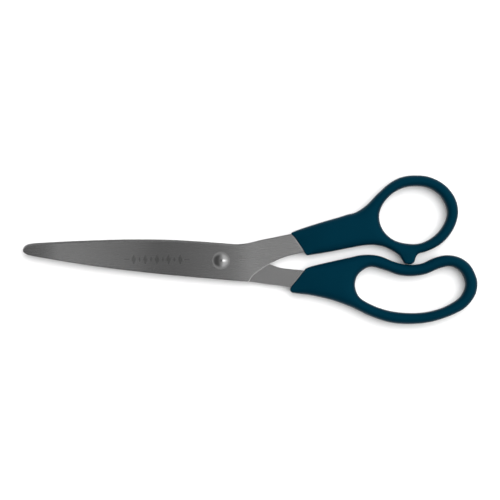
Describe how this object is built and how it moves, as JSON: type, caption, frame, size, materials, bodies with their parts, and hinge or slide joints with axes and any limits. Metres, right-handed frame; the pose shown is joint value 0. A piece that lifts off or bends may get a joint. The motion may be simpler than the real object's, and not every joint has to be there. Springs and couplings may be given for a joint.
{
  "type": "office scissors",
  "caption": "Long bent office scissors with stamped steel blades on a rivet, a round thumb ring, a kidney-shaped finger loop and a small stop between them.",
  "frame": {"origin": "middle of the bounding box's bottom face, with the scissors closed and lying flat on the handles", "axes": "+X from the blade tips to the handles, +Y to the side of the thumb ring, +Z out of the front blade's outer face"},
  "size_m": [0.2032, 0.0664, 0.008],
  "materials": {
    "blade_steel": "satin, ground lengthwise",
    "rivet_steel": "polished",
    "handle_plastic": "smooth satin moulding"
  },
  "bodies": {
    "finger_side": {"back_blade": "blade_steel", "finger_handle": "handle_plastic", "pivot_rivet": "rivet_steel"},
    "thumb_side": {"front_blade": "blade_steel", "thumb_handle": "handle_plastic"}
  },
  "joints": [
    {"name": "blade_pivot", "type": "hinge", "parent": "finger_side", "child": "thumb_side", "pos_m": [-0.0131, -0.0049, 0.004], "axis": [0, 0, 1], "range_deg": [0, 140]}
  ]
}
